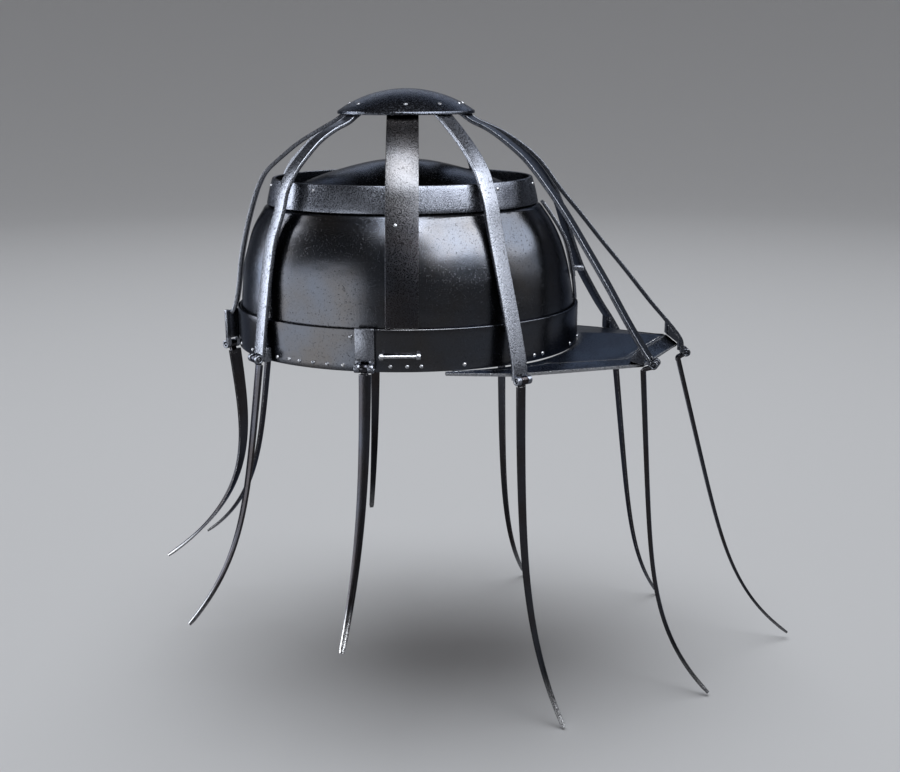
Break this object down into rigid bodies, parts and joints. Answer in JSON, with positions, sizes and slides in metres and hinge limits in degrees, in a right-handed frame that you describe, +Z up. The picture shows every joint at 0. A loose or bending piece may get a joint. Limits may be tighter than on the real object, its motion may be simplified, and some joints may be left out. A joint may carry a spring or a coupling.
{
  "type": "spider helmet",
  "caption": "Steel skull in an open cage of strips with a ring, a top disc and a faceted peak, and long curved bars that hang from hinges round the rim.",
  "frame": {"origin": "centre of the head opening, in the plane of the band's lower edge, where a head holds the helmet", "axes": "+Z up; the peak points along -Y; the wearer's right side is towards -X"},
  "size_m": [0.2711, 0.454, 0.3978],
  "materials": {
    "skull_steel": "dark patinated steel, semi-gloss, pitted and scratched",
    "strip_steel": "dark steel with a fine pitted speckle and brighter edges",
    "peak_steel": "dark blue-black steel, worn bright along the folds",
    "bar_steel": "dark brown-black steel, worn bright towards some tips"
  },
  "bodies": {
    "root": {"skull": "skull_steel", "brow_band": "skull_steel", "upper_ring": "strip_steel", "top_disc": "strip_steel", "front_bar": "strip_steel", "side_staple": "strip_steel", "strap_right": "strip_steel", "strap_left": "strip_steel", "strip_front": "strip_steel", "strip_front_right": "strip_steel", "strip_front_left": "strip_steel", "strip_corner_right": "strip_steel", "strip_corner_left": "strip_steel", "strip_rear_right": "strip_steel", "strip_rear_left": "strip_steel", "strip_rear": "strip_steel", "plate_side_right": "strip_steel", "plate_side_left": "strip_steel", "peak": "peak_steel"},
    "leg_front": {"bar_front": "bar_steel"},
    "leg_front_right": {"bar_front_right": "bar_steel"},
    "leg_front_left": {"bar_front_left": "bar_steel"},
    "leg_corner_right": {"bar_corner_right": "bar_steel"},
    "leg_corner_left": {"bar_corner_left": "bar_steel"},
    "leg_rear_right": {"bar_rear_right": "bar_steel"},
    "leg_rear_left": {"bar_rear_left": "bar_steel"},
    "leg_rear": {"bar_rear": "bar_steel"},
    "leg_side_right": {"bar_side_right": "bar_steel"},
    "leg_side_left": {"bar_side_left": "bar_steel"}
  },
  "joints": [
    {"name": "front_swing", "type": "hinge", "parent": "root", "child": "leg_front", "pos_m": [0, -0.1914, -0.0115], "axis": [-1, 0, 0], "range_deg": [0, 195]},
    {"name": "front_right_swing", "type": "hinge", "parent": "root", "child": "leg_front_right", "pos_m": [-0.06353, -0.15725, -0.0049], "axis": [-0.9272, 0.3746, 0], "range_deg": [0, 200]},
    {"name": "front_left_swing", "type": "hinge", "parent": "root", "child": "leg_front_left", "pos_m": [0.06308, -0.15614, -0.0118], "axis": [-0.9272, -0.3746, 0], "range_deg": [0, 195]},
    {"name": "corner_right_swing", "type": "hinge", "parent": "root", "child": "leg_corner_right", "pos_m": [-0.09895, -0.06929, -0.0055], "axis": [-0.5736, 0.8192, 0], "range_deg": [0, 185]},
    {"name": "corner_left_swing", "type": "hinge", "parent": "root", "child": "leg_corner_left", "pos_m": [0.09711, -0.07186, -0.0055], "axis": [-0.5948, -0.8039, 0], "range_deg": [0, 185]},
    {"name": "rear_right_swing", "type": "hinge", "parent": "root", "child": "leg_rear_right", "pos_m": [-0.06745, 0.09633, 0.0026], "axis": [0.8192, 0.5736, 0], "range_deg": [0, 175]},
    {"name": "rear_left_swing", "type": "hinge", "parent": "root", "child": "leg_rear_left", "pos_m": [0.05502, 0.10348, 0.0026], "axis": [0.8829, -0.4695, 0], "range_deg": [0, 175]},
    {"name": "rear_swing", "type": "hinge", "parent": "root", "child": "leg_rear", "pos_m": [0, 0.1216, -0.0023], "axis": [0.7431, -0.6691, 0], "range_deg": [0, 170]},
    {"name": "side_right_swing", "type": "hinge", "parent": "root", "child": "leg_side_right", "pos_m": [-0.10027, 0.02694, 0.0034], "axis": [0.1908, 0.9816, 0], "range_deg": [0, 170]},
    {"name": "side_left_swing", "type": "hinge", "parent": "root", "child": "leg_side_left", "pos_m": [0.10027, 0.02694, 0.0034], "axis": [0.1908, -0.9816, 0], "range_deg": [0, 170]}
  ]
}
